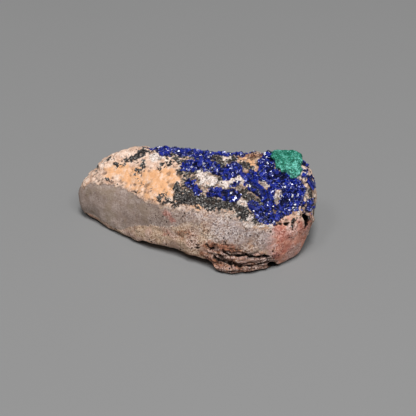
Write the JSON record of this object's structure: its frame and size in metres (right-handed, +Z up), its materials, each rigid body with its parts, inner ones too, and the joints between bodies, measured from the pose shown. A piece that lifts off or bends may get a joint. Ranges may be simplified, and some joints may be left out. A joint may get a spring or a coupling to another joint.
{
  "type": "azurite specimen",
  "caption": "Wedge of pale limestone with a blue azurite druse, small azurite clumps and a green malachite cushion on its domed top, resting on a flat foot.",
  "frame": {"origin": "centre of the bounding box's underside, in the plane of the flat foot", "axes": "+Z up, away from the foot; +X along the specimen from the narrow tip to the broad heel; -Y the way the worn front face looks"},
  "size_m": [0.066, 0.0306, 0.0247],
  "materials": {
    "limestone": "matte",
    "azurite": "gloss",
    "malachite": "satin"
  },
  "bodies": {
    "root": {"matrix_rock": "limestone", "azurite_main_druse": "azurite", "azurite_front_strip": "azurite", "azurite_front_spots": "azurite", "azurite_clump_corner": "azurite", "azurite_clump_top": "azurite", "azurite_clump_heel": "azurite", "azurite_clump_low": "azurite", "malachite_cushion": "malachite"}
  },
  "joints": []
}
